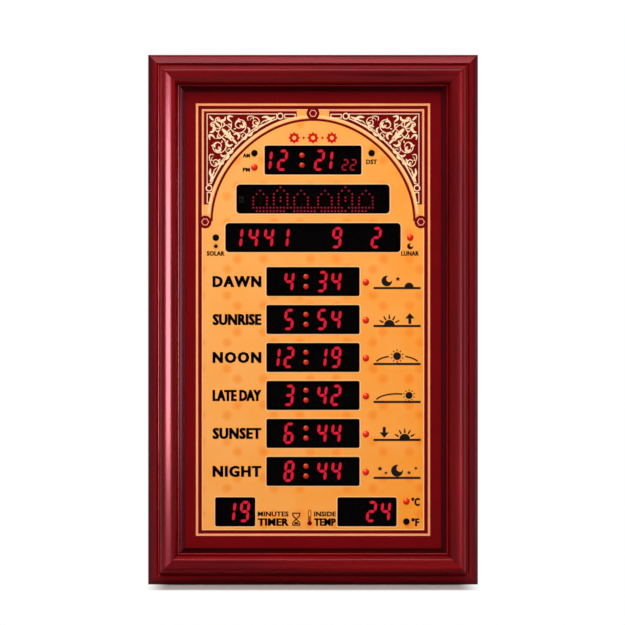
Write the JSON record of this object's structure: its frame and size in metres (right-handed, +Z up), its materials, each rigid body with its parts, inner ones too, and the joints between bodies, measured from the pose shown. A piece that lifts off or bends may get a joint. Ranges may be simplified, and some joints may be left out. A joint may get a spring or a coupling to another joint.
{
  "type": "wall azan clock",
  "caption": "Wall clock in a red lacquered wooden frame, with a printed arched face, red digit displays for time, date, six row times, countdown and temperature.",
  "frame": {"origin": "on the wall plane, on the rear face of the top rail, centred, 5 mm below the frame's top edge", "axes": "+X to the right seen from the front, +Y into the wall, +Z up; the face looks towards -Y"},
  "size_m": [0.386, 0.055, 0.62],
  "materials": {
    "frame_wood": "gloss red mahogany lacquer",
    "printed_film": "printed, satin",
    "smoked_pane": "smoked acrylic",
    "display_block": "black, with red segments",
    "lamp_body": "diffused red epoxy",
    "circuit_board": "green solder mask",
    "cover_board": "black, fine texture",
    "black_plastic": "moulded",
    "grey_plastic": "moulded",
    "plated_steel": "zinc plated",
    "ferrite": "sintered",
    "speaker_paper": "black pressed paper"
  },
  "bodies": {
    "clock_body": {"frame_top_rail": "frame_wood", "frame_bottom_rail": "frame_wood", "frame_left_stile": "frame_wood", "frame_right_stile": "frame_wood", "face_film": "printed_film", "face_pane": "smoked_pane", "time_display": "display_block", "seconds_display": "display_block", "message_display": "display_block", "year_display": "display_block", "month_display": "display_block", "day_display": "display_block", "row_display_1": "display_block", "row_display_2": "display_block", "row_display_3": "display_block", "row_display_4": "display_block", "row_display_5": "display_block", "row_display_6": "display_block", "countdown_display": "display_block", "temperature_display": "display_block", "am_led": "lamp_body", "pm_led": "lamp_body", "summer_time_led": "lamp_body", "solar_calendar_led": "lamp_body", "lunar_calendar_led": "lamp_body", "row_led_1": "lamp_body", "row_led_2": "lamp_body", "row_led_3": "lamp_body", "row_led_4": "lamp_body", "row_led_5": "lamp_body", "row_led_6": "lamp_body", "celsius_led": "lamp_body", "fahrenheit_led": "lamp_body", "infrared_receiver": "black_plastic", "display_board": "circuit_board", "control_board": "circuit_board", "processor_chip": "black_plastic", "coin_cell": "plated_steel", "coin_cell_holder": "black_plastic", "ribbon_cable": "grey_plastic", "volume_potentiometer": "plated_steel", "power_inlet": "black_plastic", "speaker_basket": "plated_steel", "speaker_magnet": "ferrite", "speaker_cone": "speaker_paper", "back_cover": "cover_board", "cover_screw_1": "plated_steel", "cover_screw_2": "plated_steel", "cover_screw_3": "plated_steel", "cover_screw_4": "plated_steel", "hanger_strap": "plated_steel", "hanger_screw": "plated_steel"},
    "menu_key_body": {"menu_key": "grey_plastic"},
    "up_key_body": {"up_key": "grey_plastic"},
    "down_key_body": {"down_key": "grey_plastic"},
    "enter_key_body": {"enter_key": "grey_plastic"},
    "silence_key_body": {"silence_key": "grey_plastic"},
    "volume_knob_body": {"volume_knob": "black_plastic"},
    "hanger_ring_body": {"hanger_ring": "plated_steel"}
  },
  "joints": [
    {"name": "menu_key_press", "type": "slide", "parent": "clock_body", "child": "menu_key_body", "axis": [0, -1, 0], "range_m": [0, 0.001], "stiffness_N_per_m": 400},
    {"name": "up_key_press", "type": "slide", "parent": "clock_body", "child": "up_key_body", "axis": [0, -1, 0], "range_m": [0, 0.001], "stiffness_N_per_m": 400},
    {"name": "down_key_press", "type": "slide", "parent": "clock_body", "child": "down_key_body", "axis": [0, -1, 0], "range_m": [0, 0.001], "stiffness_N_per_m": 400},
    {"name": "enter_key_press", "type": "slide", "parent": "clock_body", "child": "enter_key_body", "axis": [0, -1, 0], "range_m": [0, 0.001], "stiffness_N_per_m": 400},
    {"name": "silence_key_press", "type": "slide", "parent": "clock_body", "child": "silence_key_body", "axis": [0, -1, 0], "range_m": [0, 0.001], "stiffness_N_per_m": 400},
    {"name": "volume_knob_turn", "type": "hinge", "parent": "clock_body", "child": "volume_knob_body", "pos_m": [0.052, -0.0042, -0.497], "axis": [0, -1, 0], "range_deg": [-140, 140]},
    {"name": "hanger_ring_swing", "type": "hinge", "parent": "clock_body", "child": "hanger_ring_body", "pos_m": [0, -0.0035, -0.022], "axis": [1, 0, 0], "range_deg": [0, 165]}
  ]
}
